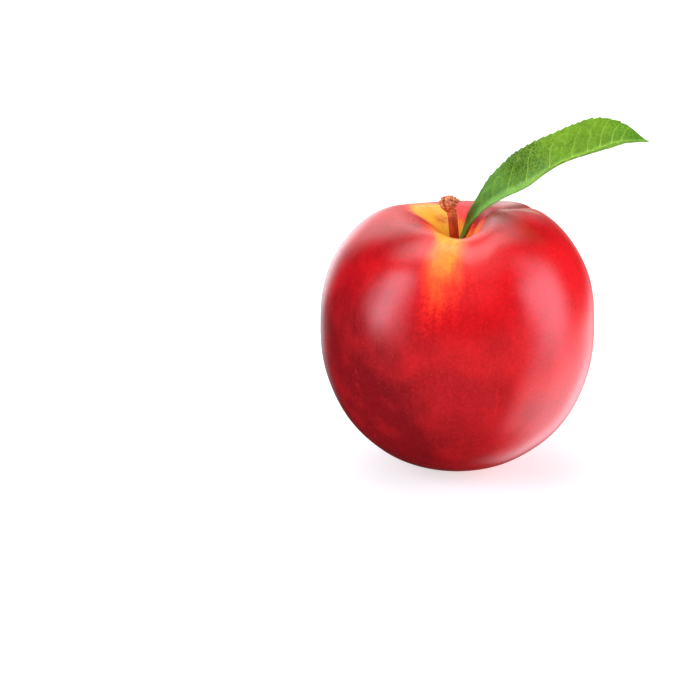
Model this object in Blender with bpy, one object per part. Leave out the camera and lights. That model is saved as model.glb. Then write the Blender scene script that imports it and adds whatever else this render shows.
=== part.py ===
# A whole nectarine standing upright on its base, with its woody stem and one leaf.
# Metres, +Z up. The origin is the centre of the flat spot that the fruit rests on.

import math

import bmesh
import bpy
from mathutils import Vector

# Fruit
WAIST_RADIUS = 0.0348
WAIST_HEIGHT = 0.0364
TOP_RISE = 0.0312
TOP_SQUARENESS = 2.50
BASE_DROP = 0.0373
BASE_SQUARENESS = 2.20
CAVITY_DEPTH = 0.0140
CAVITY_RADIUS = 0.0098
CAVITY_STEEPNESS = 1.65
SOCKET_RADIUS = 0.0018
SOCKET_DEPTH = 0.0015
FRUIT_SEGMENTS = 64
FRUIT_RINGS = 30

# Hollows that run down from the stem cavity: azimuth in degrees, half width, depth at the rim,
# and the latitudes in degrees between which they fade out down the side
FRONT_VALLEY = {"azimuth": -91, "width": 0.0075, "depth": 0.0012, "fade": (0, 58)}
SUTURE = {"azimuth": 31, "width": 0.0018, "depth": 0.0015, "fade": (-50, 50)}
HOLLOW_START = 0.0035
# Swellings of the shoulder: azimuth in degrees, half angle in degrees, height
LOBES = [
    {"azimuth": 225, "spread": 35, "height": 0.0003},
    {"azimuth": 8, "spread": 40, "height": 0.0017},
    {"azimuth": 52, "spread": 20, "height": 0.0006},
]
LOBE_FADE = (25, 62)

# Stem: its axis runs from the foot in the socket to the broken, swollen end
STEM_AXIS = [
    (0.0000, 0.0, 0.0530),
    (-0.0006, 0.0, 0.0588),
    (-0.0011, 0.0, 0.0650),
    (-0.0019, 0.0, 0.0678),
    (-0.0023, 0.0, 0.0697),
]
STEM_RADIUS = 0.0012
STEM_FOOT_FLARE = 0.0002
KNOB_RADIUS = 0.0023
KNOB_START = 0.48
KNOB_FULL = 0.78
KNOB_LUMPS = 0.10
STEM_SIDES = 16
STEM_STEPS = 22

# Leaf: its midrib runs from the petiole's foot to the tip
MIDRIB = [
    (0.0011, 0.0017, 0.0562),
    (0.0042, 0.0020, 0.0640),
    (0.0103, 0.0031, 0.0693),
    (0.0176, 0.0045, 0.0727),
    (0.0251, 0.0063, 0.0769),
    (0.0330, 0.0083, 0.0794),
    (0.0407, 0.0102, 0.0815),
    (0.0486, 0.0122, 0.0812),
]
LEAF_BACK = (-0.24, 0.97, 0)
PETIOLE_RADIUS = 0.0005
BLADE_HALF_WIDTH = 0.0084
BLADE_START = 0.03
BLADE_FULL = 0.46
BLADE_TAPER = 0.66
BLADE_THICKNESS = 0.0005
RIB_SHARE = 0.35
LEAF_STEPS = 44
LEAF_SIDES = 20

SKIN_RED = (0.50, 0.015, 0.025)
BARK_BROWN = (0.17, 0.06, 0.03)
LEAF_GREEN = (0.09, 0.26, 0.03)


def smooth_ramp(value, low, high):
    t = min(max((value - low) / (high - low), 0), 1)
    return t * t * (3 - 2 * t)


def smooth_route(points, t):
    # Catmull-Rom curve through the points, t from 0 to 1
    place = t * (len(points) - 1)
    start = min(int(place), len(points) - 2)
    t = place - start
    before, a, b, after = [
        Vector(points[min(max(start + step, 0), len(points) - 1)]) for step in (-1, 0, 1, 2)
    ]
    return 0.5 * (
        2 * a
        + (b - before) * t
        + (2 * before - 5 * a + 4 * b - after) * t ** 2
        + (3 * a - before - 3 * b + after) * t ** 3
    )


def make_material(name, colour, roughness):
    material = bpy.data.materials.new(name)
    material.use_nodes = True
    shader = material.node_tree.nodes["Principled BSDF"]
    shader.inputs["Base Color"].default_value = (*colour, 1)
    shader.inputs["Roughness"].default_value = roughness
    shader.inputs["Metallic"].default_value = 0
    return material


def add_object(name, bm, material):
    bmesh.ops.recalc_face_normals(bm, faces=bm.faces)
    mesh = bpy.data.meshes.new(name)
    bm.to_mesh(mesh)
    bm.free()
    mesh.shade_smooth()
    mesh.materials.append(material)
    obj = bpy.data.objects.new(name, mesh)
    bpy.context.scene.collection.objects.link(obj)
    return obj


def rolled_tube(steps, sides, place):
    # A grid rolled into a closed tube: place(t, angle) gives each point, and both ends are capped
    bm = bmesh.new()
    grid = bmesh.ops.create_grid(bm, x_segments=steps, y_segments=sides, size=0.5)
    for vert in grid["verts"]:
        vert.co = place(vert.co.x + 0.5, (vert.co.y + 0.5) * 2 * math.pi)
    bmesh.ops.remove_doubles(bm, verts=bm.verts, dist=0.000001)
    open_edges = [edge for edge in bm.edges if edge.is_boundary]
    bmesh.ops.holes_fill(bm, edges=open_edges, sides=0)
    return bm


def top_height(rho):
    # Height of the shoulder and the stem cavity over a point rho from the axis
    shoulder = TOP_RISE * (1 - (rho / WAIST_RADIUS) ** TOP_SQUARENESS) ** (1 / TOP_SQUARENESS)
    cavity = CAVITY_DEPTH * math.exp(-(rho / CAVITY_RADIUS) ** CAVITY_STEEPNESS)
    return WAIST_HEIGHT + shoulder - cavity


def fruit_profile():
    # Half outline from the centre of the rest spot, up the side, over the rim, into the stem socket
    spot = math.asin((WAIST_HEIGHT / BASE_DROP) ** (BASE_SQUARENESS / 2))
    points = [(0, 0)]
    for ring in range(FRUIT_RINGS):
        latitude = -spot + (math.pi / 2 + spot) * ring / FRUIT_RINGS
        if latitude < 0:
            rho = WAIST_RADIUS * math.cos(latitude) ** (2 / BASE_SQUARENESS)
            height = WAIST_HEIGHT - BASE_DROP * math.sin(-latitude) ** (2 / BASE_SQUARENESS)
            points.append((rho, max(height, 0)))
        else:
            rho = WAIST_RADIUS * math.cos(latitude) ** (2 / TOP_SQUARENESS)
            if rho > SOCKET_RADIUS:
                points.append((rho, top_height(rho)))
    socket_rim = top_height(SOCKET_RADIUS)
    socket_floor = top_height(0) - SOCKET_DEPTH
    points += [(SOCKET_RADIUS, socket_rim), (SOCKET_RADIUS, socket_floor), (0, socket_floor)]
    return points


def hollow_depth(hollow, rho, azimuth, latitude):
    turn = azimuth - math.radians(hollow["azimuth"])
    if math.cos(turn) <= 0:
        return 0
    across = rho * math.sin(turn) / hollow["width"]
    fade = smooth_ramp(latitude, *hollow["fade"]) * smooth_ramp(rho, 0, HOLLOW_START)
    return hollow["depth"] * fade * math.cos(turn) * math.exp(-across ** 2)


def lobe_height(lobe, rho, azimuth, latitude):
    turn = math.degrees(azimuth) - lobe["azimuth"]
    turn = (turn + 180) % 360 - 180
    fade = smooth_ramp(latitude, *LOBE_FADE) * smooth_ramp(rho, HOLLOW_START, CAVITY_RADIUS)
    return lobe["height"] * fade * math.exp(-(turn / lobe["spread"]) ** 2)


def swell(point):
    # Moves a turned point towards or away from the fruit's heart
    heart = Vector((0, 0, WAIST_HEIGHT))
    reach = point - heart
    rho = math.hypot(point.x, point.y)
    azimuth = math.atan2(point.y, point.x)
    latitude = math.degrees(math.atan2(reach.z, rho))
    rise = sum(lobe_height(lobe, rho, azimuth, latitude) for lobe in LOBES)
    rise -= sum(hollow_depth(hollow, rho, azimuth, latitude) for hollow in (FRONT_VALLEY, SUTURE))
    return point + reach.normalized() * rise


def build_fruit():
    bm = bmesh.new()
    verts = [bm.verts.new((rho, 0, height)) for rho, height in fruit_profile()]
    edges = [bm.edges.new(pair) for pair in zip(verts, verts[1:])]
    bmesh.ops.spin(
        bm, geom=verts + edges, cent=(0, 0, 0), axis=(0, 0, 1),
        angle=2 * math.pi, steps=FRUIT_SEGMENTS, use_merge=True,
    )
    bmesh.ops.remove_doubles(bm, verts=bm.verts, dist=0.000001)
    for vert in bm.verts:
        vert.co = swell(vert.co)
    return add_object("fruit", bm, make_material("nectarine_skin", SKIN_RED, 0.35))


def stem_point(t, angle):
    centre = smooth_route(STEM_AXIS, t)
    knob = smooth_ramp(t, KNOB_START, KNOB_FULL)
    radius = STEM_RADIUS + STEM_FOOT_FLARE * (1 - smooth_ramp(t, 0, 0.3))
    radius += (KNOB_RADIUS - STEM_RADIUS) * knob
    radius *= 1 + KNOB_LUMPS * knob * math.sin(3 * angle + 8 * t)
    # The swollen end rounds over to a blunt top
    rounding = max((t - KNOB_FULL) / (1 - KNOB_FULL), 0)
    radius *= math.sqrt(1 - 0.92 * rounding ** 2)
    return centre + radius * Vector((math.cos(angle), math.sin(angle), 0))


def build_stem():
    bm = rolled_tube(STEM_STEPS, STEM_SIDES, stem_point)
    return add_object("stem", bm, make_material("stem_bark", BARK_BROWN, 0.7))


def blade_half_width(t):
    # Narrow at the petiole, lance-shaped, drawn out to the tip
    taper = max((t - BLADE_TAPER) / (1 - BLADE_TAPER), 0)
    return BLADE_HALF_WIDTH * smooth_ramp(t, BLADE_START, BLADE_FULL) * (1 - taper ** 2) ** 1.2


def half_blade_rise(t, far_side):
    # Angle at which each half of the blade leaves the midrib
    if far_side:
        return math.radians(58)
    return math.radians(-14 + 30 * smooth_ramp(t, 0.2, 0.5) - 12 * smooth_ramp(t, 0.6, 0.9))


def leaf_frame(t):
    # The midrib's point, and the directions up from it and back across the blade
    step = 0.004
    ahead = smooth_route(MIDRIB, min(t + step, 1)) - smooth_route(MIDRIB, max(t - step, 0))
    up = ahead.cross(Vector(LEAF_BACK)).normalized()
    return smooth_route(MIDRIB, t), up, up.cross(ahead).normalized()


def leaf_point(t, angle):
    centre, up, back = leaf_frame(t)
    across = math.cos(angle)
    side = math.copysign(1, across)
    rise = half_blade_rise(t, across > 0)
    out = back * side * math.cos(rise) + up * math.sin(rise)
    face = up * math.cos(rise) - back * side * math.sin(rise)
    # Over the midrib both halves share one upward face
    face = up.lerp(face, smooth_ramp(abs(across), 0, RIB_SHARE)).normalized()
    width = max(blade_half_width(t), PETIOLE_RADIUS)
    blade = smooth_ramp(t, BLADE_START, BLADE_START + 0.12)
    half_thickness = PETIOLE_RADIUS + (BLADE_THICKNESS / 2 - PETIOLE_RADIUS) * blade
    return centre + out * width * abs(across) + face * half_thickness * math.sin(angle)


def build_leaf():
    bm = rolled_tube(LEAF_STEPS, LEAF_SIDES, leaf_point)
    return add_object("leaf", bm, make_material("leaf_green", LEAF_GREEN, 0.45))


def main():
    for obj in list(bpy.data.objects):
        bpy.data.objects.remove(obj, do_unlink=True)
    build_fruit()
    build_stem()
    build_leaf()


main()
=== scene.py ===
import math

import bmesh
import bpy
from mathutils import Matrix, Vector, noise
from mathutils.kdtree import KDTree


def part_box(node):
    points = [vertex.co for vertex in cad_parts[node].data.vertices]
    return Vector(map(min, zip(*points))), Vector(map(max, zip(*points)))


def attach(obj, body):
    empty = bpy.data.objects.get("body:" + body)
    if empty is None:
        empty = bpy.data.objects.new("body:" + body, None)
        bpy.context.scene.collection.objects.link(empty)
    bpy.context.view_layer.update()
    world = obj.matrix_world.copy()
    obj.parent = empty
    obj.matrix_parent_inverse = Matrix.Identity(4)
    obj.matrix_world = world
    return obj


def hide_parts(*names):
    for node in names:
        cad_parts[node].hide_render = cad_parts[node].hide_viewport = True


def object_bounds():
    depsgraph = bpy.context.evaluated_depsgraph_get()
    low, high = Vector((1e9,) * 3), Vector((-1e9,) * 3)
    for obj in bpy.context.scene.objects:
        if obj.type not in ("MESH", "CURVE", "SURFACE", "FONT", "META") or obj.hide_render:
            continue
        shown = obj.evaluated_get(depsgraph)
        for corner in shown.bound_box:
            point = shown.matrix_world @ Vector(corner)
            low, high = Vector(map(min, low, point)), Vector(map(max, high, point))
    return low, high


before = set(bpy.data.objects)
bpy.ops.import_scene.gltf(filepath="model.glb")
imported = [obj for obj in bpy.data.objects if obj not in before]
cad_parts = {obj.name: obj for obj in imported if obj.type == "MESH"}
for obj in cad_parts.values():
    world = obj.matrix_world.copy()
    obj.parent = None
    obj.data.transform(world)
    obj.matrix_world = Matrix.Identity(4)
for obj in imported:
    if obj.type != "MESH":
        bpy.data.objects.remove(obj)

cadLow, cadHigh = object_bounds()
fruitLow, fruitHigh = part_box("fruit")
stemLow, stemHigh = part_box("stem")
leafLow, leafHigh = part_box("leaf")
fruitRadius = (fruitHigh.x - fruitLow.x) / 2
fruitAxis = Vector(((fruitLow.x + fruitHigh.x) / 2, (fruitLow.y + fruitHigh.y) / 2, fruitLow.z))
toMillimetres = 1000  # metres times this are millimetres
tiny = 0.0001  # keeps a division by a distance safe, in metres
print("frame loaded:", ", ".join(sorted(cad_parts)))


def ramp(value, low, high):
    # 0 up to low, 1 from high on, and a soft S between
    share = min(max((value - low) / (high - low), 0), 1)
    return share * share * (3 - 2 * share)


def blend(low, high, share):
    return low + (high - low) * share


def turnFrom(azimuth, middle):
    # degrees from the middle, the short way round
    return (azimuth - middle + 180) % 360 - 180


def bell(distance, width):
    return math.exp(-(distance / width) ** 2)


def around(azimuth, patch):
    # 1 in the middle of a patch, and less to its sides
    return bell(turnFrom(azimuth, patch["azimuth"]), patch["spread"])


def smoothRoute(points, share):
    # Catmull-Rom through the points
    place = min(max(share, 0), 1) * (len(points) - 1)
    first = min(int(place), len(points) - 2)
    rest = place - first
    before = points[max(first - 1, 0)]
    start, end = points[first], points[first + 1]
    after = points[min(first + 2, len(points) - 1)]
    return 0.5 * (
        2 * start
        + (end - before) * rest
        + (2 * before - 5 * start + 4 * end - after) * rest ** 2
        + (3 * start - before - 3 * end + after) * rest ** 3
    )


def heading(points, share, step=0.01):
    return (smoothRoute(points, share + step) - smoothRoute(points, share - step)).normalized()


def evenly(line, count):
    # the same line with its points an equal distance apart
    walked = [0]
    for here, there in zip(line, line[1:]):
        walked.append(walked[-1] + (there - here).length)
    even, at = [], 0
    for step in range(count + 1):
        wanted = walked[-1] * step / count
        while at < len(line) - 2 and walked[at + 1] < wanted:
            at += 1
        span = max(walked[at + 1] - walked[at], 1e-9)
        even.append(line[at].lerp(line[at + 1], (wanted - walked[at]) / span))
    return even


def rolledTube(steps, sides, place):
    # place gives the point of a closed tube for a share along it and an angle
    bm = bmesh.new()
    bmesh.ops.create_grid(bm, x_segments=steps, y_segments=sides, size=0.5)
    for v in bm.verts:
        v.co = place(v.co.x + 0.5, (v.co.y + 0.5) * 2 * math.pi)
    bmesh.ops.remove_doubles(bm, verts=bm.verts, dist=0.000002)
    bmesh.ops.holes_fill(bm, edges=bm.edges, sides=sides)
    bmesh.ops.recalc_face_normals(bm, faces=bm.faces)
    return bm


def makeObject(name, bm, materials):
    mesh = bpy.data.meshes.new(name)
    bm.to_mesh(mesh)
    bm.free()
    made = bpy.data.objects.new(name, mesh)
    bpy.context.scene.collection.objects.link(made)
    for material in materials:
        mesh.materials.append(material)
    return made


def makePiece(name, bm, materials, node):
    piece = makeObject(name, bm, materials)
    for polygon in piece.data.polygons:
        polygon.use_smooth = True
    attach(piece, "root")
    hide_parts(node)
    print(name, "made with", len(piece.data.polygons), "faces")
    return piece


def newMaterial(name):
    material = bpy.data.materials.new(name)
    material.use_nodes = True
    tree = material.node_tree
    tree.nodes.clear()
    shader = tree.nodes.new("ShaderNodeBsdfPrincipled")
    output = tree.nodes.new("ShaderNodeOutputMaterial")
    tree.links.new(shader.outputs["BSDF"], output.inputs["Surface"])
    return material, tree, shader


def wire(tree, socket, value):
    # a link or a plain value, three numbers for a colour
    if isinstance(value, bpy.types.NodeSocket):
        tree.links.new(value, socket)
    elif socket.type == "RGBA":
        socket.default_value = (*value, 1)
    else:
        socket.default_value = value


def addNode(tree, kind, inputs, **settings):
    node = tree.nodes.new(kind)
    for name, value in settings.items():
        setattr(node, name, value)
    for name, value in inputs.items():
        wire(tree, node.inputs[name], value)
    return node


def sums(tree, operation, first, second=0.0, clamped=False):
    settings = {"operation": operation, "use_clamp": clamped}
    return addNode(tree, "ShaderNodeMath", {0: first, 1: second}, **settings).outputs[0]


def plus(tree, first, second, clamped=False):
    return sums(tree, "ADD", first, second, clamped)


def times(tree, first, second):
    return sums(tree, "MULTIPLY", first, second)


def spread(tree, value, low, high, toLow=0.0, toHigh=1.0):
    # the ramp above, as a node
    inputs = {"Value": value, "From Min": low, "From Max": high, "To Min": toLow, "To Max": toHigh}
    return addNode(tree, "ShaderNodeMapRange", inputs, interpolation_type="SMOOTHSTEP").outputs[0]


def tint(tree, share, under, over, way="MIX"):
    # a share of the second colour over the first
    node = tree.nodes.new("ShaderNodeMix")
    node.data_type = "RGBA"
    node.blend_type = way
    for number, value in ((0, share), (6, under), (7, over)):
        wire(tree, node.inputs[number], value)
    return node.outputs[2]


def mottled(tree, colour, pattern, span, lightness):
    # the colour made darker and lighter by a pattern
    shade = spread(tree, pattern, *span, *lightness)
    grey = addNode(tree, "ShaderNodeCombineColor", {0: shade, 1: shade, 2: shade}).outputs[0]
    return tint(tree, 1.0, colour, grey, "MULTIPLY")


def setFinish(tree, shader, colour, roughness, height, bump, distance):
    inputs = {"Strength": bump, "Distance": distance, "Height": height}
    wire(tree, shader.inputs["Base Color"], colour)
    wire(tree, shader.inputs["Roughness"], roughness)
    wire(tree, shader.inputs["Normal"], addNode(tree, "ShaderNodeBump", inputs).outputs[0])


def attribute(tree, name, output="Fac"):
    return addNode(tree, "ShaderNodeAttribute", {}, attribute_name=name).outputs[output]


def stretched(tree, vector, scale):
    return addNode(tree, "ShaderNodeMapping", {"Vector": vector, "Scale": scale}).outputs[0]


def millimetres(tree, stretch=(1, 1, 1)):
    # places in millimetres, so that a pattern's scale is per millimetre
    place = tree.nodes.new("ShaderNodeTexCoord").outputs["Object"]
    return stretched(tree, place, [toMillimetres * part for part in stretch])


def grain(tree, vector, scale, detail=4.0, roughness=0.55):
    inputs = {"Vector": vector, "Scale": scale, "Detail": detail, "Roughness": roughness}
    return addNode(tree, "ShaderNodeTexNoise", inputs).outputs["Fac"]


def cells(tree, vector, scale, feature="F1"):
    inputs = {"Vector": vector, "Scale": scale}
    return addNode(tree, "ShaderNodeTexVoronoi", inputs, feature=feature)


def colourBand(tree, value, stops):
    node = addNode(tree, "ShaderNodeValToRGB", {"Fac": value})
    band = node.color_ramp
    while len(band.elements) < len(stops):
        band.elements.new(0.5)
    for element, (place, colour) in zip(band.elements, stops):
        element.position = place
        element.color = (*colour, 1)
    return node.outputs["Color"]


# azimuths run from the leaf's side round by the back, so -90 is the front and 180 the left
grooveAzimuth = 31

# metres and degrees, unless a line says otherwise; heights are above the base
skinShape = {
    "turns": 360,  # faces round the fruit
    "rings": 230,  # faces from the base up over the shoulder and down the hollow
    "outlineSteps": 1200,  # steps of the outline before the rings are spaced along it
    "outlineAzimuth": 90,  # the side whose outline is used for that
    "waistHeight": 0.0364,
    "topRise": 0.0312,
    "topSquareness": 2.46,
    "baseDrop": 0.0373,
    "baseSquareness": 2.15,
    "hollowDepth": 0.0130,
    # how far the hollow reaches, in millimetres, and how sharp its lip is,
    # every 30 degrees from the left by the front
    "hollowReach": [7.2, 7.4, 8.6, 9.9, 8.0, 5.2, 4.3, 6.0, 7.8, 8.6, 8.4, 7.6],
    "hollowSteepness": [1.15, 1.15, 1.35, 1.75, 1.70, 1.55, 1.50, 1.50, 1.35, 1.20, 1.15, 1.15],
    # the small pit that the stem stands in
    "socketRadius": 0.0018,
    "socketTaper": 0.9,
    "socketDepth": 0.0015,
    # each valley fades in between two latitudes
    "valleys": [
        {"azimuth": -88, "width": 0.0064, "depth": 0.0017, "fade": (0, 56)},
        {"azimuth": grooveAzimuth, "width": 0.0013, "depth": 0.0014, "fade": (-50, 50)},
        {"azimuth": 44, "width": 0.0032, "depth": 0.0036, "fade": (62, 74)},
        {"azimuth": 30, "width": 0.0040, "depth": 0.0017, "fade": (53, 69)},
    ],
    "valleyStart": 0.0035,
    "lobes": [
        {"azimuth": 225, "spread": 35, "height": 0.0004, "start": (0.006, 0.0165)},
        {"azimuth": 155, "spread": 26, "height": 0.0011, "start": (0.010, 0.019)},
        {"azimuth": -10, "spread": 30, "height": 0.0005, "start": (0.006, 0.0165)},
        {"azimuth": 46, "spread": 20, "height": 0.0014, "start": (0.015, 0.022)},
        {"azimuth": 22, "spread": 20, "height": 0.0009, "start": (0.017, 0.024)},
        {"azimuth": 56, "spread": 20, "height": -0.0005, "start": (0.010, 0.014)},
    ],
    "lobeFade": (25, 62),
    # radial folds round the stem, and slow waves all over
    "pucker": {"height": 0.00012, "scale": 5.5, "start": (0.0022, 0.005), "end": (0.009, 0.016)},
    "waves": {"height": 0.00016, "scale": 95, "start": 0.006},
    "baseDimple": {"radius": 0.0035, "depth": 0.0007, "end": (0.004, 0.007)},
}

waist = skinShape["waistHeight"]


def roundTheStem(values, azimuth):
    # a smooth value between those given at even turns
    place = (azimuth + 180) % 360 / 360 * len(values)
    first = int(place)
    near = [values[(first + step) % len(values)] for step in (-1, 0, 1, 2)]
    return smoothRoute(near, (1 + place - first) / 3)


def topHeight(reach, azimuth):
    squareness = skinShape["topSquareness"]
    dome = max(1 - (reach / fruitRadius) ** squareness, 0) ** (1 / squareness)
    edge = roundTheStem(skinShape["hollowReach"], azimuth) / toMillimetres
    hollow = math.exp(-(reach / edge) ** roundTheStem(skinShape["hollowSteepness"], azimuth))
    return waist + skinShape["topRise"] * dome - skinShape["hollowDepth"] * hollow


def skinProfile():
    # from the middle of the base, out and over the shoulder, down to the socket
    baseShare = skinShape["waistHeight"] / skinShape["baseDrop"]
    lowest = -math.asin(baseShare ** (skinShape["baseSquareness"] / 2))
    side, socket = skinShape["outlineAzimuth"], skinShape["socketRadius"]
    line = [Vector((0, 0, 0))]
    for step in range(skinShape["outlineSteps"]):
        angle = blend(lowest, math.pi / 2, step / skinShape["outlineSteps"])
        power = 2 / skinShape["baseSquareness" if angle < 0 else "topSquareness"]
        reach = fruitRadius * math.cos(angle) ** power
        if reach < socket:
            break
        if angle < 0:
            height = waist - skinShape["baseDrop"] * math.sin(-angle) ** power
        else:
            height = topHeight(reach, side)
        line.append(Vector((reach, 0, max(height, 0))))
    rim = topHeight(socket, side)
    floor = rim - skinShape["socketDepth"]
    line += [
        Vector((socket, 0, rim)),
        Vector((socket * skinShape["socketTaper"], 0, floor)),
        Vector((0, 0, floor)),
    ]
    return evenly(line, skinShape["rings"])


skinLine = skinProfile()


def skinPoint(share, angle):
    point = skinLine[round(share * skinShape["rings"])]
    reach, height = point.x, point.z
    if height > waist and reach > skinShape["socketRadius"]:
        height = topHeight(reach, math.degrees(angle))
    return Vector((reach * math.cos(angle), reach * math.sin(angle), height))


def skinPlace(point):
    # azimuth and latitude in degrees, distance from the axis in metres
    reach = math.hypot(point.x, point.y)
    azimuth = math.degrees(math.atan2(point.y, point.x))
    latitude = math.degrees(math.atan2(point.z - waist, reach))
    return azimuth, latitude, reach


def valleyDepth(valley, azimuth, latitude, reach):
    turn = math.radians(turnFrom(azimuth, valley["azimuth"]))
    if math.cos(turn) <= 0:
        return 0
    across = bell(reach * math.sin(turn), valley["width"])
    start = ramp(reach, 0, skinShape["valleyStart"])
    return valley["depth"] * ramp(latitude, *valley["fade"]) * start * math.cos(turn) * across


def lobeHeight(lobe, azimuth, latitude, reach):
    start = ramp(reach, *lobe["start"])
    return lobe["height"] * ramp(latitude, *skinShape["lobeFade"]) * start * around(azimuth, lobe)


def skinRelief(point):
    # how far the skin stands proud of the plain round shape
    place = skinPlace(point)
    reach = place[2]
    raised = sum(lobeHeight(lobe, *place) for lobe in skinShape["lobes"])
    raised -= sum(valleyDepth(valley, *place) for valley in skinShape["valleys"])
    pucker, waves = skinShape["pucker"], skinShape["waves"]
    if point.z > waist:
        outward = Vector((point.x, point.y, 0)) / max(reach, tiny)
        inHollow = ramp(reach, *pucker["start"]) * (1 - ramp(reach, *pucker["end"]))
        folds = noise.noise(outward * pucker["scale"] + Vector((0, 0, 3)))
        raised += pucker["height"] * inHollow * folds
    aboveFloor = ramp(point.z, 0, waves["start"])
    return raised + waves["height"] * aboveFloor * noise.noise(point * waves["scale"])


# where each colour of the skin lies; metres and degrees, heights above the base
blush = {
    # how far the yellow ground reaches round the stem, in millimetres, and how clear it is,
    # every 30 degrees from the left by the front
    "yellowReach": [6.0, 5.2, 7.6, 13.0, 9.0, 7.0, 6.4, 7.8, 8.0, 8.8, 18.0, 14.0],
    "yellowShow": [0.85, 0.80, 0.88, 0.88, 0.80, 0.82, 0.76, 0.62, 0.74, 0.92, 1.0, 1.0],
    "yellowEnd": (0.78, 1.25),  # it fades between these shares of its reach
    "warmRim": {"most": 0.20, "fade": (0.010, 0.022)},  # the blush is lighter all round the hollow
    # the bright streak down the front; each pair is for its foot and its top
    "streak": {
        "heights": (0.048, 0.063),
        "middle": (-0.0063, -0.0030),
        "left": {"width": (0.0045, 0.0066), "edge": 3.2},
        "right": {"width": (0.0079, 0.0054), "edge": 1.8},
        "fade": (0.034, 0.0645),
        "fadePower": 1.9,
        "lipWedge": 0.34,  # how far the red cuts into the streak on the left of the lip
        "lipHeights": (0.0608, 0.0638),
    },
    # the left side's own deep red, partly painted shade on that side, less of it towards the top
    "deepSideAndShade": {
        "azimuth": -162, "spread": 70,
        "top": 0.74, "topFade": (0.053, 0.063), "paler": 0.40,
        "lower": 0.74, "lowerFade": (0.010, 0.060),
    },
    # the near lobe turns a little and narrows outwards
    "deepLobe": {
        "azimuth": -22, "spread": 44, "most": 1.05,
        "farAzimuth": -37, "farSpread": 26, "farMost": 0.58,
        "start": (0.0040, 0.0065), "outwards": (0.010, 0.019), "end": (0.0205, 0.029),
    },
    "deepBack": {"azimuth": 52, "spread": 28, "end": (0.020, 0.030), "most": 0.85},
    "deepSpots": [
        {"azimuth": -52, "spread": 32, "height": 0.028, "rise": 0.026, "most": 0.26},
        {"azimuth": -142, "spread": 24, "height": 0.0620, "rise": 0.0036, "most": 0.30},
        {"azimuth": -117, "spread": 18, "height": 0.0530, "rise": 0.0075, "most": -0.09},
    ],
    # painted shade: the red deepens towards the base
    "baseShade": {"most": 0.20, "fade": (0.010, 0.034)},
    "topHeights": (0.016, 0.026),  # above the waist, where the colours of the top come in
    "topLatitudes": (48, 58),
    # less gloss in the hollow, to these shares of its reach, and on the ridge beside it
    "dullHollow": (1.0, 1.9),
    "dullRidge": {"azimuth": -3, "spread": 16, "reach": 0.0088, "wide": 0.0030, "most": 1.0},
    # painted sheen: pale grey-pink patches on the far lobe and the near lobe
    "paleSheen": [
        {"azimuth": 47, "spread": 22, "reach": 0.0195, "wide": 0.0046, "most": 0.90},
        {"azimuth": -40, "spread": 22, "reach": 0.0118, "wide": 0.0040, "most": 0.24},
    ],
    # painted shade in the groove: a dark line, wider on top and fainter below the waist
    "grooveShade": {
        "thin": 0.0006, "wide": 0.0010, "offset": 0.0013, "start": (0.007, 0.010), "below": 0.4,
    },
    # painted shadow of the leaf: a dark band under it
    "leafShadow": {"azimuth": -22, "spread": 30, "reach": 0.0056, "wide": 0.0018, "most": 0.72},
    # painted highlight: a pale line along the edge of the near lobe, in front of the groove
    "crestHighlight": {
        "azimuths": (-6, 12), "turning": (0.0105, 0.018), "wide": 0.0013,
        "start": (0.009, 0.012), "end": (0.019, 0.022),
    },
    "rubMark": {"azimuth": 121, "reach": 0.0080, "long": 0.0022, "wide": 0.0015},
    "russetRing": (0.0016, 0.0034),  # brown round the foot of the stem
}


def streakShow(point):
    # the streak down the front, 0 to 1
    streak = blush["streak"]
    high = ramp(point.z, *streak["heights"])
    aside = point.x - blend(*streak["middle"], high)
    side = streak["left" if aside < 0 else "right"]
    width = blend(*side["width"], high)
    if aside < 0:
        width *= 1 - streak["lipWedge"] * ramp(point.z, *streak["lipHeights"])
    low, top = streak["fade"]
    rise = min(max((point.z - low) / (top - low), 0), 1)
    return rise ** streak["fadePower"] * math.exp(-abs(aside / width) ** side["edge"])


def groundShow(point, azimuth, reach):
    # how much of the yellow ground colour shows through the blush, 0 to 1
    show = streakShow(point) if point.y < 0 else 0
    if point.z > waist:
        edge = roundTheStem(blush["yellowReach"], azimuth) / toMillimetres
        hollow = roundTheStem(blush["yellowShow"], azimuth)
        hollow *= 1 - ramp(reach / edge, *blush["yellowEnd"])
        rim = blush["warmRim"]
        warm = rim["most"] * (1 - ramp(reach, *rim["fade"]))
        warm *= 1 - around(azimuth, blush["deepLobe"])
        show = max(show, hollow)
        show += warm * (1 - show)
    return show


def crimsonAndShadeDepth(azimuth, height, reach):
    # how deep the red is, 0 to 1; on the left side and towards the base it is partly painted shade
    side, lobe = blush["deepSideAndShade"], blush["deepLobe"]
    back, base = blush["deepBack"], blush["baseShade"]
    # the left side: its deep red together with painted shade
    top = side["top"] * (1 - side["paler"] * ramp(height, *side["topFade"]))
    lower = side["lower"] * (1 - ramp(height, *side["lowerFade"]))
    depth = around(azimuth, side) * (top + lower)

    onTop = ramp(height - waist, *blush["topHeights"]) * ramp(reach, *lobe["start"])
    out = ramp(reach, *lobe["outwards"])
    across = bell(
        turnFrom(azimuth, blend(lobe["azimuth"], lobe["farAzimuth"], out)),
        blend(lobe["spread"], lobe["farSpread"], out),
    )
    most = blend(lobe["most"], lobe["farMost"], out) * (1 - ramp(reach, *lobe["end"]))
    depth += most * onTop * across

    depth += back["most"] * onTop * around(azimuth, back) * (1 - ramp(reach, *back["end"]))
    for spot in blush["deepSpots"]:
        depth += spot["most"] * around(azimuth, spot) * bell(height - spot["height"], spot["rise"])
    # painted shade towards the base
    depth += base["most"] * (1 - ramp(height, *base["fade"]))
    return min(depth, 1)


def patchShow(patch, azimuth, reach):
    return patch["most"] * around(azimuth, patch) * bell(reach - patch["reach"], patch["wide"])


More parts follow.
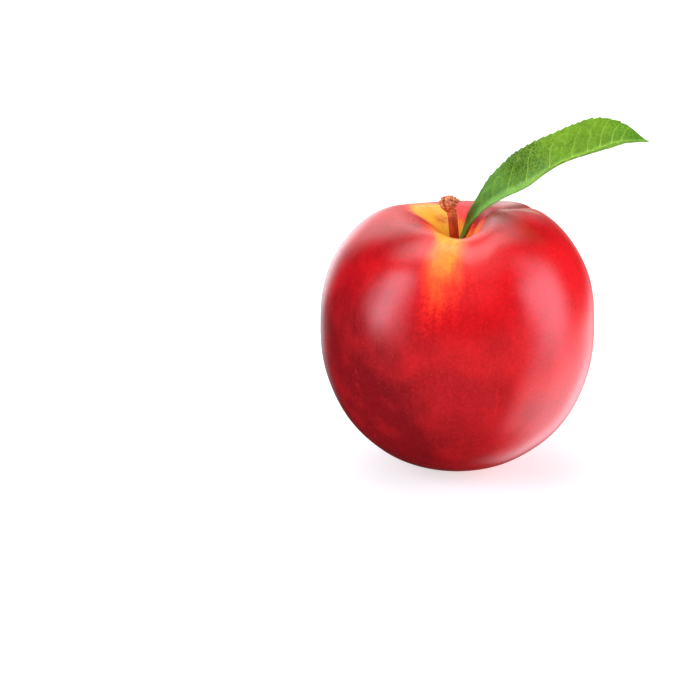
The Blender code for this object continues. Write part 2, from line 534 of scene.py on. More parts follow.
def rubShow(azimuth, reach):
    # an old rub mark on the back wall of the hollow
    mark = blush["rubMark"]
    along = math.radians(turnFrom(azimuth, mark["azimuth"])) * reach
    return bell(along, mark["long"]) * bell(reach - mark["reach"], mark["wide"])


def grooveShadeShow(azimuth, high, reach, onTop):
    # painted shade along the groove
    line = blush["grooveShade"]
    turn = math.radians(turnFrom(azimuth, grooveAzimuth))
    if math.cos(turn) <= 0:
        return 0
    shown = ramp(reach, *line["start"]) * (1 if onTop else line["below"])
    aside = reach * math.sin(turn) - line["offset"] * high
    return shown * bell(aside, blend(line["thin"], line["wide"], high))


def crestHighlightShow(azimuth, high, reach):
    # a painted highlight along the near lobe's edge
    crestHighlight = blush["crestHighlight"]
    middle = blend(*crestHighlight["azimuths"], ramp(reach, *crestHighlight["turning"]))
    turn = math.radians(turnFrom(azimuth, middle))
    if math.cos(turn) <= 0:
        return 0
    shown = high * ramp(reach, *crestHighlight["start"]) * (1 - ramp(reach, *crestHighlight["end"]))
    return shown * bell(reach * math.sin(turn), crestHighlight["wide"])


def skinLayers(point, azimuth, latitude, reach):
    # what each layer of the skin holds at a point
    onTop = point.z > waist
    high = ramp(latitude, *blush["topLatitudes"])
    edge = roundTheStem(skinShape["hollowReach"], azimuth) / toMillimetres
    hollowDull = 1 - ramp(reach / edge, *blush["dullHollow"])
    # the leaf's painted shadow
    leafShadow = onTop * patchShow(blush["leafShadow"], azimuth, reach)
    return {
        "groundShow": groundShow(point, azimuth, reach),
        "crimsonAndShade": crimsonAndShadeDepth(azimuth, point.z, reach),
        "rubMark": onTop * rubShow(azimuth, reach),
        "russet": onTop * (1 - ramp(reach, *blush["russetRing"])),
        "dull": onTop * max(hollowDull, patchShow(blush["dullRidge"], azimuth, reach)),
        # painted shade in the groove and the leaf's painted shadow, a painted highlight on the
        # lobe's edge, painted sheen patches
        "grooveShade": max(grooveShadeShow(azimuth, high, reach, onTop), leafShadow),
        "crestHighlight": crestHighlightShow(azimuth, high, reach),
        "paleSheen": high * max(patchShow(patch, azimuth, reach) for patch in blush["paleSheen"]),
    }


def buildSkin(material):
    bm = rolledTube(skinShape["rings"], skinShape["turns"], skinPoint)
    names = ("groundShow", "crimsonAndShade", "rubMark", "russet", "dull", "grooveShade", "crestHighlight", "paleSheen")
    layers = {name: bm.verts.layers.float.new(name) for name in names}
    flowLayer = bm.verts.layers.float_vector.new("flow")
    heart = Vector((0, 0, waist))
    dimple = skinShape["baseDimple"]
    for v in bm.verts:
        azimuth, latitude, reach = skinPlace(v.co)
        for name, value in skinLayers(v.co, azimuth, latitude, reach).items():
            v[layers[name]] = value
        outward = Vector((v.co.x, v.co.y, 0)) / max(reach, tiny)
        v[flowLayer] = Vector((outward.x, outward.y, latitude / 90))
        raised = skinRelief(v.co)
        if v.co.z < tiny:
            inDimple = bell(reach, dimple["radius"]) * (1 - ramp(reach, *dimple["end"]))
            v.co.z += dimple["depth"] * inDimple
        v.co += (v.co - heart).normalized() * raised
        v.co += fruitAxis
    makePiece("nectarineSkin", bm, [material], "fruit")


skinFinish = {
    "brightRed": (0.90, 0.010, 0.014),
    # the deep red, which also gives the painted shade
    "crimsonAndShade": (0.20, 0.001, 0.004),
    # from the red of the blush to the bare yellow ground
    "groundStops": [
        (0.00, (0.90, 0.010, 0.014)),
        (0.28, (0.93, 0.018, 0.016)),
        (0.45, (0.97, 0.045, 0.018)),
        (0.62, (0.98, 0.110, 0.022)),
        (0.80, (1.00, 0.270, 0.024)),
        (1.00, (1.00, 0.475, 0.022)),
    ],
    "dots": (0.95, 0.18, 0.10),
    "specks": (0.22, 0.045, 0.012),
    "rubPale": (0.88, 0.250, 0.012),
    "rubBrown": (0.42, 0.090, 0.012),
    "russet": (0.30, 0.11, 0.025),
    # colours of painted light: the sheen, the shade in the groove and under the leaf, the
    # highlight on the lobe's edge
    "paleSheen": (0.70, 0.40, 0.37),
    "grooveShade": (0.22, 0.030, 0.012),
    "crestHighlight": (1.0, 0.42, 0.28),
    "roughness": (0.19, 0.27),
    "dullness": 0.24,  # added to the roughness where the skin is dull
    "shineIndex": 1.40,
    "bump": 0.06,
}


def skinMaterial():
    material, tree, shader = newMaterial("nectarineSkinBlush")
    place = millimetres(tree)
    flow = attribute(tree, "flow", "Vector")
    # fine and broad streaks run from the hollow to the base
    streaks = grain(tree, stretched(tree, flow, (26, 26, 3.2)), 1.0, detail=5, roughness=0.6)
    broad = grain(tree, stretched(tree, flow, (7, 7, 2.0)), 1.0, detail=3)
    mottle = grain(tree, place, 1.3, detail=5, roughness=0.65)
    patches = grain(tree, place, 0.11, detail=3)

    # the edge between blush and ground is uneven
    shaken = attribute(tree, "groundShow")
    shaken = plus(tree, shaken, spread(tree, streaks, 0.25, 0.75, -0.035, 0.035))
    shaken = plus(tree, shaken, spread(tree, broad, 0.3, 0.7, -0.05, 0.07))
    shaken = plus(tree, shaken, spread(tree, patches, 0.35, 0.7, -0.04, 0.10))
    shaken = plus(tree, shaken, spread(tree, mottle, 0.3, 0.7, -0.035, 0.035))
    groundColour = colourBand(tree, shaken, skinFinish["groundStops"])
    # the deep red, with the painted shade on the left and towards the base
    deep = plus(tree, attribute(tree, "crimsonAndShade"), spread(tree, patches, 0.25, 0.75, -0.12, 0.14))
    deep = plus(tree, deep, spread(tree, streaks, 0.25, 0.75, 0.03, -0.03), clamped=True)
    red = tint(tree, deep, skinFinish["brightRed"], skinFinish["crimsonAndShade"])
    colour = tint(tree, spread(tree, shaken, 0.10, 0.46), red, groundColour)

    # pale dots, each its own size
    dots = cells(tree, place, 1.25)
    cell = addNode(tree, "ShaderNodeSeparateColor", {"Color": dots.outputs["Color"]}).outputs[0]
    dotSize = spread(tree, cell, 0.3, 1.0, 0.0, 0.16)
    dotEdge = sums(tree, "SUBTRACT", dots.outputs["Distance"], dotSize)
    dotMask = times(tree, spread(tree, dotEdge, -0.06, 0.06, 1.0, 0.0), 0.16)
    colour = tint(tree, dotMask, colour, skinFinish["dots"])
    colour = mottled(tree, colour, mottle, (0.25, 0.75), (0.86, 1.12))
    # a few brown specks
    specks = spread(tree, cells(tree, place, 0.21).outputs["Distance"], 0.02, 0.055, 1.0, 0.0)
    colour = tint(tree, times(tree, specks, 0.55), colour, skinFinish["specks"])

    # the rub mark: pale all over, and broken brown in its middle
    rub = attribute(tree, "rubMark")
    colour = tint(tree, spread(tree, rub, 0.05, 0.80, 0.0, 0.80), colour, skinFinish["rubPale"])
    broken = spread(tree, grain(tree, place, 0.9, detail=4), 0.48, 0.62)
    brown = times(tree, spread(tree, rub, 0.30, 0.85), broken)
    colour = tint(tree, times(tree, brown, 0.7), colour, skinFinish["rubBrown"])
    # the russet ring round the stem, then painted light: the sheen patches, the shade in the
    # groove and the leaf's shadow, and the highlight on the edge beside the groove
    ring = times(tree, attribute(tree, "russet"), spread(tree, mottle, 0.25, 0.6, 0.4, 0.9))
    colour = tint(tree, ring, colour, skinFinish["russet"])
    colour = tint(tree, attribute(tree, "paleSheen"), colour, skinFinish["paleSheen"])
    colour = tint(tree, times(tree, attribute(tree, "grooveShade"), 0.6), colour, skinFinish["grooveShade"])
    colour = tint(tree, times(tree, attribute(tree, "crestHighlight"), 0.8), colour, skinFinish["crestHighlight"])

    rough = spread(tree, mottle, 0.25, 0.75, *skinFinish["roughness"])
    rough = plus(tree, rough, times(tree, attribute(tree, "dull"), skinFinish["dullness"]))
    height = plus(tree, times(tree, mottle, 0.6), times(tree, dotMask, -0.5))
    height = plus(tree, height, times(tree, streaks, 0.5))
    shader.inputs["IOR"].default_value = skinFinish["shineIndex"]
    setFinish(tree, shader, colour, rough, height, skinFinish["bump"], 0.0004)
    return material


buildSkin(skinMaterial())


# shares run from the foot of the stem to its broken end
stemShape = {
    # millimetres from the low corner of the stem's box
    "route": [
        (4.21, 2.53, 0), (3.45, 2.53, 5.8), (2.85, 2.53, 12.0),
        (1.85, 2.53, 14.8), (1.45, 2.53, 16.9),
    ],
    "steps": 170,
    "sides": 96,
    "radius": 0.0012,
    "footFlare": 0.0002,
    "footEnd": 0.3,
    "knobRadius": 0.00215,
    "knobStart": 0.54,
    "knobFull": 0.78,
    "knobLumps": 0.08,
    "leftBulge": {"size": 0.36, "spread": 60, "at": 0.74, "long": 0.13},
    "endRound": 0.92,
    "bark": 0.00007,  # height of the ridges along it
    "cork": 0.00072,  # height of the lumps on the knob
    "corkColour": (0.62, 0.80),
}

stemRoute = [stemLow + Vector(point) / toMillimetres for point in stemShape["route"]]


def stemRadius(share, angle, knob):
    radius = blend(stemShape["radius"], stemShape["knobRadius"], knob)
    radius += stemShape["footFlare"] * (1 - ramp(share, 0, stemShape["footEnd"]))
    radius *= 1 + stemShape["knobLumps"] * knob * math.sin(3 * angle + 8 * share)
    bulge = stemShape["leftBulge"]
    across = bell(turnFrom(math.degrees(angle), 180), bulge["spread"])
    radius *= 1 + bulge["size"] * across * bell(share - bulge["at"], bulge["long"])
    if share > stemShape["knobFull"]:
        rounding = (share - stemShape["knobFull"]) / (1 - stemShape["knobFull"])
        radius *= math.sqrt(max(1 - stemShape["endRound"] * rounding ** 2, 0))
    return radius


def stemPoint(share, angle):
    ahead = heading(stemRoute, share)
    across = ahead.cross(Vector((0, 1, 0))).normalized()
    outward = across * math.cos(angle) + across.cross(ahead) * math.sin(angle)
    knob = ramp(share, stemShape["knobStart"], stemShape["knobFull"])
    point = smoothRoute(stemRoute, share) + outward * stemRadius(share, angle, knob)
    # ridges of bark along the shaft, corky lumps and pits on the knob
    ridges = noise.noise(Vector((math.cos(angle) * 3.2, math.sin(angle) * 3.2, share * 5)))
    ridges += 0.5 * noise.noise(Vector((math.cos(angle) * 7, math.sin(angle) * 7, share * 14)))
    lumps = noise.noise(point * 780) + 0.6 * noise.noise(point * 1900)
    pits = -max(noise.noise(point * 1250 + Vector((7, 0, 0))) - 0.12, 0) * 2.4
    proud = stemShape["bark"] * ridges * (1 - 0.6 * knob)
    proud += stemShape["cork"] * knob * (lumps * 0.46 + pits)
    return point + (outward + ahead * 0.4 * knob).normalized() * proud * ramp(share, 0, 0.04)


def buildStem(material):
    bm = rolledTube(stemShape["steps"], stemShape["sides"], stemPoint)
    knobLayer = bm.verts.layers.float.new("knob")
    heightLayer = bm.verts.layers.float.new("alongStem")
    for v in bm.verts:
        share = (v.co.z - stemLow.z) / (stemHigh.z - stemLow.z)
        v[heightLayer] = share
        v[knobLayer] = ramp(share, *stemShape["corkColour"])
    makePiece("woodyStem", bm, [material], "stem")


barkFinish = {
    "shaft": (0.64, 0.090, 0.010),
    "shaftDark": (0.28, 0.022, 0.005),
    "shaftWarm": (0.90, 0.26, 0.040),
    "cork": (0.95, 0.33, 0.11),
    "corkPale": (1.00, 0.62, 0.32),
    "corkRed": (0.50, 0.10, 0.030),
    "corkDark": (0.10, 0.020, 0.008),
    "roughness": (0.55, 0.85),
    "bump": 0.55,
}


def barkMaterial():
    material, tree, shader = newMaterial("stemBarkWood")
    place = millimetres(tree)
    fibres = grain(tree, millimetres(tree, stretch=(1, 1, 0.16)), 3.0, detail=5, roughness=0.65)
    cork = grain(tree, place, 1.5, detail=6, roughness=0.7)
    pits = cells(tree, place, 1.1).outputs["Distance"]
    light = spread(tree, fibres, 0.32, 0.68)
    shaft = tint(tree, light, barkFinish["shaftDark"], barkFinish["shaft"])
    shaft = tint(tree, spread(tree, fibres, 0.62, 0.80, 0, 0.7), shaft, barkFinish["shaftWarm"])
    head = tint(tree, spread(tree, cork, 0.46, 0.60), barkFinish["corkRed"], barkFinish["cork"])
    head = tint(tree, spread(tree, cork, 0.36, 0.48, 0.9, 0.0), head, barkFinish["corkDark"])
    head = tint(tree, spread(tree, cork, 0.62, 0.70, 0.0, 0.6), head, barkFinish["corkPale"])
    head = tint(tree, spread(tree, pits, 0.10, 0.30, 0.9, 0.0), head, barkFinish["corkDark"])
    colour = tint(tree, attribute(tree, "knob"), shaft, head)
    # painted shade: darker down in the hollow
    low = spread(tree, attribute(tree, "alongStem"), 0.25, 0.55, 0.5, 0.0)
    colour = tint(tree, low, colour, barkFinish["shaftDark"])
    rough = spread(tree, cork, 0.3, 0.7, *barkFinish["roughness"])
    height = plus(tree, times(tree, fibres, 0.6), times(tree, cork, 0.6))
    setFinish(tree, shader, colour, rough, height, barkFinish["bump"], 0.0003)
    return material


buildStem(barkMaterial())


# the far half is the one towards the back; shares run from the stalk's foot to the tip
leafShape = {
    # the rib, in millimetres from the low corner of the leaf's box
    "route": [
        (-0.23, 5.33, 0.18), (3.25, 5.63, 7.98), (9.67, 6.73, 13.28), (16.97, 8.13, 16.68),
        (24.47, 9.93, 20.88), (32.37, 11.93, 23.38), (40.07, 13.83, 25.48), (47.97, 15.83, 25.18),
    ],
    "ribSteps": 400,
    "back": (-0.24, 0.97, 0),  # across the leaf, level
    # half widths in millimetres and rises in degrees, at even steps
    "farWidths": [0.9, 1.3, 2.8, 5.5, 7.7, 8.5, 8.0, 8.1, 7.8, 4.7, 0],
    "nearWidths": [0.2, 0.3, 1.9, 4.1, 6.0, 7.2, 7.4, 6.9, 5.2, 2.6, 0],
    "farRises": [60, 60, 64, 68, 66, 50, 53, 58, 60, 60, 60],
    "nearRises": [34, 28, 20, 12, 14.5, 20.5, 20, 19, 15, 18, 24],
    "thickness": 0.00032,
    "steps": 350,
    "columns": 130,
    "toothLength": 0.0018,
    "toothHeight": {"far": 0.00034, "near": 0.00010},
    "toothHook": 1.5,
    "toothEdge": (0.86, 1),  # the teeth shape only the outer part of each half
    "toothWidths": (0.003, 0.006),  # none where the blade is narrower
    "ruffle": 0.00035,  # height of the slow waves along the edge
    "quilt": 0.00016,  # height of the blade between its veins
    "quiltWidth": 0.8,  # millimetres from a vein to most of that height
    "quiltStart": (0.1, 1.2),  # millimetres from the rib
    "gutter": 0.0013,  # width of the rounded fold along the rib
    "ribHalf": (0.28, 0.10),  # half width of the rib in millimetres, at the foot and the tip
}

leafRoute = [leafLow + Vector(point) / toMillimetres for point in leafShape["route"]]
ribSteps = leafShape["ribSteps"]
leafLine = [smoothRoute(leafRoute, step / ribSteps) for step in range(ribSteps + 1)]
leafLine = evenly(leafLine, ribSteps)
leafLength = sum((there - here).length for here, there in zip(leafLine, leafLine[1:]))


def leafFrame(share):
    # a point on the rib, with the ways back and up from it
    ahead = heading(leafLine, share)
    up = ahead.cross(Vector(leafShape["back"])).normalized()
    return smoothRoute(leafLine, share), up.cross(ahead), up


def bladeHalfWidth(share, side):
    widths = leafShape["farWidths" if side > 0 else "nearWidths"]
    return max(smoothRoute(widths, share), 0) / toMillimetres


def halfBladeRise(share, side):
    return smoothRoute(leafShape["farRises" if side > 0 else "nearRises"], share)


def bladeReach(share, side, reach, steps=8):
    # how far out and up a point is when the two halves meet in a rounded gutter
    rise = math.radians(halfBladeRise(share, side))
    gutter = math.radians(halfBladeRise(share, side) - halfBladeRise(share, -side)) / 2
    outward = upward = 0
    for step in range(steps):
        angle = blend(gutter, rise, ramp((step + 0.5) / steps * reach, 0, leafShape["gutter"]))
        outward += math.cos(angle) * reach / steps
        upward += math.sin(angle) * reach / steps
    return outward, upward, rise


# laid out flat, in millimetres
veinShape = {
    "starts": [7.5, 11.0, 14.7, 19.3, 24.5, 31.2, 37.5, 41.6, 45.0, 48.0, 50.6],
    "startsFor": 58,  # the leaf length that the starts are given for
    "nearLater": 1.3,  # the near half's veins start this much further on
    "steps": 60,
    "widthAhead": 0.04,  # a vein runs forward, so it takes the blade's width from there
    "stop": 0.84,  # share of the half width that it reaches
    "lean": (0.62, 0.37),
    "bend": 0.30,
    "bendPower": 2.6,
    "sway": 0.07,
    "halfWidths": (0.10, 0.03),
    # an arc joins each vein's end to the next vein, at this step of it
    "arcSteps": 40,
    "arcJoin": 46,
    "arcBulge": 0.5,
    "arcHalfWidth": -0.01,
    # a thinner vein runs half way between, and ends at this step; a width below 0 is only fainter
    "thinEnd": 36,
    "thinSway": 0.25,
    "thinHalfWidth": -0.02,
}


def sideVein(start, share, side, number):
    steps = veinShape["steps"]
    width = bladeHalfWidth(min(share + veinShape["widthAhead"], 1), side) * toMillimetres
    width *= veinShape["stop"]
    line = []
    for step in range(steps + 1):
        reach = step / steps
        sway = veinShape["sway"] * noise.noise(Vector((number * 3.1, reach * 3, side * 2)))
        forward = blend(*veinShape["lean"], share) * reach
        forward += veinShape["bend"] * reach ** veinShape["bendPower"]
        x = start + width * (forward + sway)
        line.append((x, side * width * reach, blend(*veinShape["halfWidths"], reach)))
    return line


def veinArc(here, there, side):
    ended, joined = here[-1], there[veinShape["arcJoin"]]
    arc = []
    for step in range(veinShape["arcSteps"] + 1):
        reach = step / veinShape["arcSteps"]
        bulge = math.sin(math.pi * reach) * veinShape["arcBulge"] * side
        x, y = (blend(ended[part], joined[part], reach) for part in (0, 1))
        arc.append((x, y + bulge, veinShape["arcHalfWidth"]))
    return arc


def thinVein(here, there):
    middle = (here[0][0] + there[0][0]) / 2
    line = []
    for step in range(veinShape["thinEnd"]):
        forward = (here[step][0] - here[0][0] + there[step][0] - there[0][0]) / 2
        sway = veinShape["thinSway"] * math.sin(step / veinShape["steps"] * 9)
        y = (here[step][1] + there[step][1]) / 2
        line.append((middle + forward + sway, y, veinShape["thinHalfWidth"]))
    return line


def veinLines():
    # points along every vein, with its half width there
    points = []
    longest = leafLength * toMillimetres
    for side in (1, -1):
        veins = []
        later = 0 if side > 0 else veinShape["nearLater"]
        for number, start in enumerate(veinShape["starts"]):
            start = start * longest / veinShape["startsFor"] + later
            veins.append(sideVein(start, start / longest, side, number))
            points += veins[-1]
        for here, there in zip(veins, veins[1:]):
            points += veinArc(here, there, side) + thinVein(here, there)
    return points


def toothRise(share, side, across, width):
    tooth = (share * leafLength / leafShape["toothLength"]) % 1
    height = leafShape["toothHeight"]["far" if side > 0 else "near"]
    height *= 1 + 1.1 * noise.noise(Vector((share * 23, side, 0)))
    height *= tooth ** leafShape["toothHook"] - 0.5
    return height * ramp(across, *leafShape["toothEdge"]) * ramp(width, *leafShape["toothWidths"])


def bladeLift(share, side, across, fromRib, fromVein):
    # the blade puffs up between the veins and waves towards its edge
    puff = 1 - math.exp(-max(fromVein, 0) / leafShape["quiltWidth"])
    puff *= ramp(fromRib, *leafShape["quiltStart"])
    wave = noise.noise(Vector((share * 9, side * 4, 1))) * ramp(across, 0.3, 1)
    return leafShape["quilt"] * puff + leafShape["ruffle"] * wave


def buildLeaf(topMaterial, underMaterial):
    bm = bmesh.new()
    steps, columns = leafShape["steps"], leafShape["columns"]
    bmesh.ops.create_grid(bm, x_segments=steps, y_segments=columns, size=0.5)
    veinLayer = bm.verts.layers.float.new("veinGap")
    ribLayer = bm.verts.layers.float.new("ribGap")
    alongLayer = bm.verts.layers.float.new("alongLeaf")
    acrossLayer = bm.verts.layers.float.new("acrossLeaf")
    flatLayer = bm.verts.layers.float_vector.new("flatLeaf")
    lines = veinLines()
    tree = KDTree(len(lines))
    for number, (x, y, _) in enumerate(lines):
        tree.insert((x, y, 0), number)
    tree.balance()
    for v in bm.verts:
        share = v.co.x + 0.5
        side = 1 if v.co.y > 0 else -1
        across = abs(v.co.y) * 2
        width = bladeHalfWidth(share, side)
        width += toothRise(share, side, across, width)
        reach = width * across
        flat = Vector((share * leafLength, side * reach, 0)) * toMillimetres
        _, nearest, gap = tree.find(flat)
        gap -= lines[nearest][2]
        fromRib = reach * toMillimetres
        v[veinLayer] = gap
        v[ribLayer] = fromRib - blend(*leafShape["ribHalf"], share)
        v[alongLayer] = share
        v[acrossLayer] = side * across
        v[flatLayer] = flat
        centre, back, up = leafFrame(share)
        outward, upward, rise = bladeReach(share, side, reach)
        face = up * math.cos(rise) - back * side * math.sin(rise)
        lift = bladeLift(share, side, across, fromRib, gap)
        v.co = centre + back * side * outward + up * upward + face * lift
    bmesh.ops.remove_doubles(bm, verts=bm.verts, dist=0.000004)
    # the upper side looks up and towards the front
    facing = sum((face.normal * face.calc_area() for face in bm.faces), Vector())
    if facing.z < 0:
        bmesh.ops.reverse_faces(bm, faces=bm.faces)
    leaf = makePiece("leafBlade", bm, [topMaterial, underMaterial], "leaf")
    wall = leaf.modifiers.new("thickness", "SOLIDIFY")
    wall.thickness = leafShape["thickness"]
    wall.offset = -1
    wall.material_offset = 1
    wall.material_offset_rim = 0


leafFinish = {
    "nearStem": (0.135, 0.370, 0.058),
    "middle": (0.040, 0.135, 0.004),
    "farEnd": (0.165, 0.370, 0.012),
    "tip": (0.075, 0.280, 0.002),
    # the next two greens are painted sheen and painted shade on the near half
    "sheenGreen": (0.200, 0.440, 0.095),
    "nearShadeGreen": (0.045, 0.150, 0.010),
    "vein": (0.400, 0.640, 0.060),
    "under": (0.200, 0.340, 0.110),
    "roughness": (0.46, 0.60),
    "shineIndex": 1.30,
    "bump": 0.35,
}


def bladeColour(tree, along, across):
    # four greens along the blade; the far end's lighter yellow-green is partly painted light
    # shining through the thin blade
    past = spread(tree, along, 0.29, 0.44)
    colour = tint(tree, past, leafFinish["nearStem"], leafFinish["middle"])
    colour = tint(tree, spread(tree, along, 0.47, 0.64), colour, leafFinish["farEnd"])
    colour = tint(tree, spread(tree, along, 0.78, 0.95), colour, leafFinish["tip"])
    # painted sheen: paler beside the rib in the lower part
    fromRib = sums(tree, "ABSOLUTE", plus(tree, across, 0.25))
    ribSheen = spread(tree, fromRib, 0.25, 0.85, 0.8, 0.0)
    ribSheen = times(tree, ribSheen, spread(tree, along, 0.40, 0.62, 1.0, 0.15))
    ribSheen = times(tree, ribSheen, spread(tree, along, 0.20, 0.34, 0.30, 1.0))
    colour = tint(tree, ribSheen, colour, leafFinish["sheenGreen"])
    # painted shade and painted sheen: the near half is darker towards the tip and paler towards
    # the stem
    darker = spread(tree, across, -0.12, 0.0, 0.52, 0.0)
    darker = times(tree, darker, spread(tree, along, 0.44, 0.60))
    colour = tint(tree, darker, colour, leafFinish["nearShadeGreen"])
    paler = spread(tree, across, -0.20, 0.0, 0.65, 0.0)
    paler = times(tree, paler, spread(tree, along, 0.42, 0.58, 1.0, 0.0))
    return tint(tree, paler, colour, leafFinish["sheenGreen"])


def veinNet(tree, flat, along):
    # the finest veins, clearest in the middle of the blade
    shaken = spread(tree, grain(tree, flat, 0.9, detail=2), 0.2, 0.8, 0.0, 0.45)
    shift = addNode(tree, "ShaderNodeCombineXYZ", {0: shaken, 1: shaken}).outputs[0]
    place = addNode(tree, "ShaderNodeVectorMath", {0: flat, 1: shift}, operation="ADD").outputs[0]
    coarse = cells(tree, place, 1.0, "DISTANCE_TO_EDGE").outputs["Distance"]
    fine = cells(tree, place, 2.0, "DISTANCE_TO_EDGE").outputs["Distance"]
    coarseLine = spread(tree, coarse, 0.0, 0.13, 0.50, 0.0)
    fineLine = spread(tree, fine, 0.0, 0.20, 0.20, 0.0)
    clear = spread(tree, along, 0.22, 0.40, 0.25, 1.0)
    clear = times(tree, clear, spread(tree, along, 0.62, 0.80, 1.0, 0.80))
    return times(tree, sums(tree, "MAXIMUM", coarseLine, fineLine), clear)


def leafMaterial(name, underside):
    material, tree, shader = newMaterial(name)
    along = attribute(tree, "alongLeaf")
    colour = bladeColour(tree, along, attribute(tree, "acrossLeaf"))
    if underside:
        colour = tint(tree, 0.75, colour, leafFinish["under"])
    cloud = grain(tree, millimetres(tree), 0.35, detail=4)
    colour = mottled(tree, colour, cloud, (0.3, 0.7), (0.82, 1.16))
    net = veinNet(tree, attribute(tree, "flatLeaf", "Vector"), along)
    colour = tint(tree, net, colour, leafFinish["vein"])
    veins = spread(tree, attribute(tree, "veinGap"), -0.02, 0.10, 0.95, 0.0)
    veins = times(tree, veins, spread(tree, along, 0.20, 0.42, 0.35, 1.0))
    colour = tint(tree, veins, colour, leafFinish["vein"])
    rib = spread(tree, attribute(tree, "ribGap"), -0.05, 0.18, 0.42, 0.0)
    rib = times(tree, rib, spread(tree, along, 0.35, 0.70, 0.15, 1.0))
    colour = tint(tree, rib, colour, leafFinish["vein"])
    rough = spread(tree, cloud, 0.3, 0.7, *leafFinish["roughness"])
    # veins are sunk into the upper side and stand proud below
    height = times(tree, sums(tree, "MAXIMUM", net, veins), 1.0 if underside else -1.0)
    shader.inputs["IOR"].default_value = leafFinish["shineIndex"]
    setFinish(tree, shader, colour, rough, height, leafFinish["bump"], 0.0002)
    return material


buildLeaf(leafMaterial("leafUpperGreen", False), leafMaterial("leafUnderGreen", True))


# the stalk runs on under the blade as its midrib
stalkShape = {
    "steps": 220,
    "sides": 24,
    "reach": 0.97,  # share of the leaf's length
    "radii": (0.00034, 0.00012),
    "taper": (0.05, 0.9),
    "footRound": 0.012,
    "tipRound": 0.02,
    "under": (0.02, 0.08),  # where it goes under the blade
    "sunk": 0.6,  # its middle is this share of its radius below the blade
    "middleUp": (0.9, -0.25),  # up and back parts of the way out of the fold
}


def stalkPoint(share, angle):
    centre, back, up = leafFrame(share * stalkShape["reach"])
    radius = blend(*stalkShape["radii"], ramp(share, *stalkShape["taper"]))
    sunk = radius * stalkShape["sunk"] + leafShape["thickness"]
    sunk *= ramp(share, *stalkShape["under"])
    if share < stalkShape["footRound"]:
        radius *= math.sqrt(max(share / stalkShape["footRound"], 0.05))
    radius *= max(ramp(1 - share, 0, stalkShape["tipRound"]), 0.1)
    upPart, backPart = stalkShape["middleUp"]
    middleUp = (up * upPart + back * backPart).normalized()
    return centre - middleUp * sunk + (back * math.cos(angle) + up * math.sin(angle)) * radius


def buildStalk(material):
    bm = rolledTube(stalkShape["steps"], stalkShape["sides"], stalkPoint)
    alongLayer = bm.verts.layers.float.new("alongLeaf")
    for v in bm.verts:
        v[alongLayer] = (v.co.x - leafLow.x) / (leafHigh.x - leafLow.x)
    makePiece("leafStalk", bm, [material], "leaf")


stalkFinish = {
    "foot": (0.26, 0.15, 0.022),
    "footEnd": (0.05, 0.22),
    "roughness": (0.40, 0.55),
    "bump": 0.3,
}


def stalkMaterial():
    material, tree, shader = newMaterial("leafStalkGreen")
    fibres = grain(tree, millimetres(tree), 2.5, detail=4)
    green = spread(tree, attribute(tree, "alongLeaf"), *stalkFinish["footEnd"])
    colour = tint(tree, green, stalkFinish["foot"], leafFinish["under"])
    colour = mottled(tree, colour, fibres, (0.3, 0.7), (0.8, 1.15))
    rough = spread(tree, fibres, 0.3, 0.7, *stalkFinish["roughness"])
    setFinish(tree, shader, colour, rough, fibres, stalkFinish["bump"], 0.0002)
    return material


buildStalk(stalkMaterial())


studio = {
    "elevation": 18,
    "distance": 0.9,
    "filmWidth": 36,  # millimetres
    "seenWidth": 0.17815,  # width of the view at the object
    "aim": (-0.0272, 0, 0.0294),
    # soft windows of light, in degrees round the object and up from level
    "windows": [
        {"middle": 0, "half": 200, "heights": (66, 110), "light": (1, 1, 1)},
        {"middle": 5, "half": 26, "heights": (36, 66), "light": (0.42, 0.42, 0.42)},
        {"middle": -100, "half": 14, "heights": (57, 71), "light": (2.1, 2.1, 2.2)},
        {"middle": -67, "half": 13, "heights": (-4, 54), "light": (7, 7, 8.1)},
        {"middle": 97, "half": 16, "heights": (26, 56), "light": (2.2, 2.2, 2.5)},
        {"middle": 83, "half": 18, "heights": (-36, 38), "light": (5, 5, 6.1)},
        {"middle": 112, "half": 48, "heights": (-58, -14), "light": (2.2, 2.2, 2.4)},
        {"middle": 90, "half": 26, "heights": (-50, -26), "light": (3.3, 3.3, 3.6)},
        {"middle": -152, "half": 54, "heights": (58, 100), "light": (4.7, 4.7, 4.7)},
        {"middle": 164, "half": 24, "heights": (47, 64), "light": (3.2, 3.2, 3.2)},
        {"middle": -163, "half": 14, "heights": (-16, 15), "light": (2.4, 2.4, 2.6)},
        {"middle": -170, "half": 22, "heights": (14, 42), "light": (1.6, 1.6, 1.6)},
        {"middle": 174, "half": 8, "heights": (-24, 12), "light": (0.72, 0.62, 0.6)},
    ],
    "softEdge": 12,
    "fill": 0.02,  # light between the windows
    "floorSize": 3,
    "floor": 0.60,
    "floorRoughness": 0.9,
    "floorGlow": 0.62,
}


def fromObject(azimuth, elevation, distance):
    # azimuth 0 is the camera's side, positive to its right
    turn, rise = math.radians(azimuth), math.radians(elevation)
    level = math.cos(rise)
    return Vector((math.sin(turn) * level, -math.cos(turn) * level, math.sin(rise))) * distance


def buildCamera(scene):
    aim = fruitAxis + Vector(studio["aim"])
    data = bpy.data.cameras.new("camera")
    data.sensor_width = studio["filmWidth"]
    data.lens = studio["filmWidth"] * studio["distance"] / studio["seenWidth"]
    camera = bpy.data.objects.new("camera", data)
    scene.collection.objects.link(camera)
    offset = fromObject(0, studio["elevation"], studio["distance"])
    camera.location = aim + offset
    camera.rotation_euler = (-offset).to_track_quat("-Z", "Y").to_euler()
    scene.camera = camera


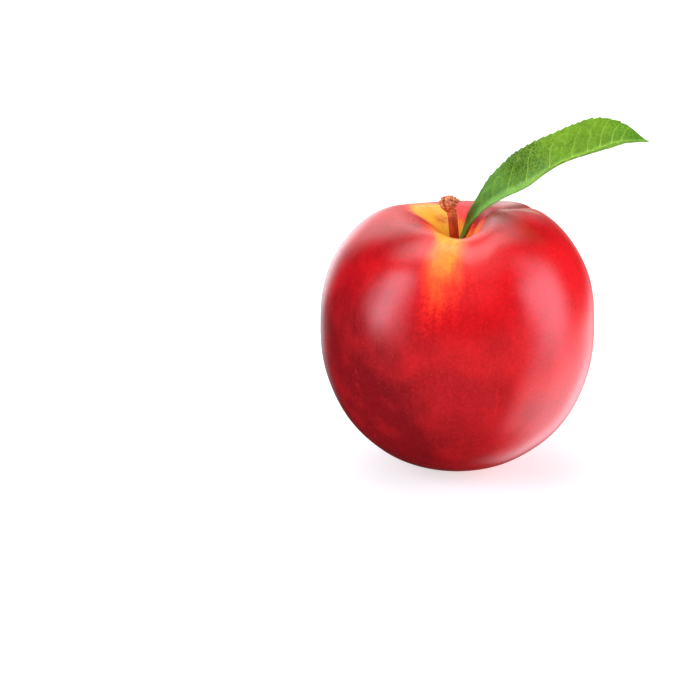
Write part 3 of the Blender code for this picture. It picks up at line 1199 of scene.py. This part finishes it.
def buildRoom(scene):
    # white to the camera, soft windows of light to everything else
    world = bpy.data.worlds.new("studioRoom")
    scene.world = world
    world.use_nodes = True
    tree = world.node_tree
    tree.nodes.clear()
    direction = tree.nodes.new("ShaderNodeTexCoord").outputs["Generated"]
    parts = addNode(tree, "ShaderNodeSeparateXYZ", {0: direction}).outputs
    towards = times(tree, parts[1], -1.0)
    azimuth = sums(tree, "DEGREES", sums(tree, "ARCTAN2", parts[0], towards))
    height = sums(tree, "DEGREES", sums(tree, "ARCSINE", parts[2]))
    soft = studio["softEdge"]
    colour = (studio["fill"],) * 3
    for window in studio["windows"]:
        # degrees from the window's middle, the short way round
        turned = sums(tree, "WRAP", sums(tree, "SUBTRACT", azimuth, window["middle"]), 180)
        turned.node.inputs[2].default_value = -180
        aside = sums(tree, "ABSOLUTE", turned)
        across = spread(tree, aside, window["half"] - soft, window["half"] + soft, 1, 0)
        low, high = window["heights"]
        above = spread(tree, height, low - soft, low + soft)
        below = spread(tree, height, high - soft, high + soft, 1, 0)
        share = times(tree, across, times(tree, above, below))
        colour = tint(tree, share, colour, window["light"])
    seen = tree.nodes.new("ShaderNodeLightPath").outputs["Is Camera Ray"]
    colour = tint(tree, seen, colour, (1, 1, 1))
    back = addNode(tree, "ShaderNodeBackground", {"Color": colour})
    output = tree.nodes.new("ShaderNodeOutputWorld")
    tree.links.new(back.outputs[0], output.inputs["Surface"])


def buildFloor():
    bm = bmesh.new()
    bmesh.ops.create_grid(bm, x_segments=8, y_segments=8, size=studio["floorSize"])
    bmesh.ops.translate(bm, verts=bm.verts, vec=(0, 0, cadLow.z))
    material, tree, shader = newMaterial("paleFloorPaint")
    wire(tree, shader.inputs["Base Color"], (studio["floor"],) * 3)
    wire(tree, shader.inputs["Emission Color"], (1, 1, 1))
    shader.inputs["Roughness"].default_value = studio["floorRoughness"]
    shader.inputs["Emission Strength"].default_value = studio["floorGlow"]
    floor = makeObject("paleFloor", bm, [material])
    floor.visible_glossy = False  # the gloss shows the room's windows instead


scene = bpy.context.scene
scene.view_settings.view_transform = "Standard"
buildCamera(scene)
buildRoom(scene)
buildFloor()
print("studio set")
